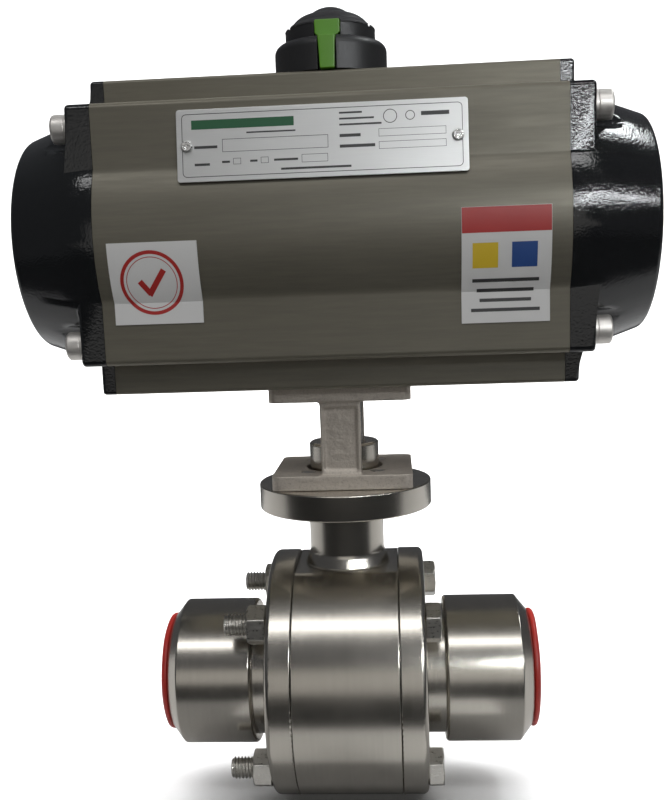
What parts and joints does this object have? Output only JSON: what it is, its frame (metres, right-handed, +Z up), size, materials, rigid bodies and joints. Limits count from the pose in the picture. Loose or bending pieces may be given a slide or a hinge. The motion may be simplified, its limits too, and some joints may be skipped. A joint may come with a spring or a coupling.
{
  "type": "pneumatic actuated ball valve",
  "caption": "Quarter-turn ball valve with butt-weld ends, turned by a double-acting rack-and-pinion air actuator on a cast bracket, with position indicator and end plugs.",
  "frame": {"origin": "centre of the ball, where the pipe axis crosses the stem axis", "axes": "+X along the pipe and the actuator, -Y towards the nameplate side, +Z up the stem"},
  "size_m": [0.2172, 0.1038, 0.2929],
  "materials": {
    "anodised_housing": "satin",
    "black_coat": "gloss",
    "black_rubber": "matte",
    "stainless_fastener": "satin",
    "plate_aluminium": "brushed",
    "plated_screw": "gloss",
    "label_film": "gloss",
    "bearing_plastic": "matte",
    "plated_steel": "satin",
    "cast_aluminium": "cast",
    "indicator_black": "satin",
    "indicator_green": "satin",
    "cast_stainless": "cast",
    "turned_stainless": "turned",
    "polished_stainless": "polished",
    "white_seat": "matte",
    "red_plastic": "satin"
  },
  "bodies": {
    "housing": {"actuator_body": "anodised_housing", "left_end_cap": "black_coat", "right_end_cap": "black_coat", "left_cap_seal": "black_rubber", "right_cap_seal": "black_rubber", "cap_screws": "stainless_fastener", "cap_washers": "stainless_fastener", "nameplate": "plate_aluminium", "nameplate_screws": "plated_screw", "left_label": "label_film", "right_label": "label_film", "bottom_bearing": "bearing_plastic", "top_bearing": "bearing_plastic", "stop_bolts": "stainless_fastener", "stop_nuts": "stainless_fastener", "thrust_washer": "bearing_plastic", "bracket": "cast_stainless", "bracket_screws": "stainless_fastener", "flange_screws": "stainless_fastener", "valve_body": "turned_stainless", "left_end_connector": "turned_stainless", "right_end_connector": "turned_stainless", "body_bolts": "stainless_fastener", "body_nuts": "stainless_fastener", "left_seat": "white_seat", "right_seat": "white_seat", "left_body_seal": "white_seat", "right_body_seal": "white_seat", "stem_thrust_seal": "white_seat", "stem_packing": "white_seat", "gland_ring": "turned_stainless"},
    "drive": {"pinion": "plated_steel", "pinion_orings": "black_rubber", "stop_cam": "plated_steel", "retaining_ring": "plated_steel", "indicator_base": "indicator_black", "indicator_cap": "indicator_black", "indicator_insert": "indicator_green", "indicator_screw": "stainless_fastener", "drive_coupling": "turned_stainless", "disc_springs": "plated_steel", "gland_nut": "turned_stainless", "ball": "polished_stainless", "stem": "turned_stainless"},
    "left_piston_set": {"left_piston": "cast_aluminium", "left_piston_oring": "black_rubber", "left_guide_ring": "bearing_plastic", "left_rack_pad": "bearing_plastic"},
    "right_piston_set": {"right_piston": "cast_aluminium", "right_piston_oring": "black_rubber", "right_guide_ring": "bearing_plastic", "right_rack_pad": "bearing_plastic"},
    "left_plug": {"left_end_plug": "red_plastic"},
    "right_plug": {"right_end_plug": "red_plastic"}
  },
  "joints": [
    {"name": "drive_turn", "type": "hinge", "parent": "housing", "child": "drive", "pos_m": [0, 0, 0], "axis": [0, 0, 1], "range_deg": [0, 90]},
    {"name": "left_piston_slide", "type": "slide", "parent": "housing", "child": "left_piston_set", "axis": [-1, 0, 0], "range_m": [0, 0.0221]},
    {"name": "right_piston_slide", "type": "slide", "parent": "housing", "child": "right_piston_set", "axis": [1, 0, 0], "range_m": [0, 0.0221]},
    {"name": "left_plug_pull", "type": "slide", "parent": "housing", "child": "left_plug", "axis": [-1, 0, 0], "range_m": [0, 0.04]},
    {"name": "right_plug_pull", "type": "slide", "parent": "housing", "child": "right_plug", "axis": [1, 0, 0], "range_m": [0, 0.04]}
  ],
  "couplings": [
    {"joint": "left_piston_slide", "follows": "drive_turn", "m_per_rad": 0.014},
    {"joint": "right_piston_slide", "follows": "drive_turn", "m_per_rad": 0.014}
  ]
}
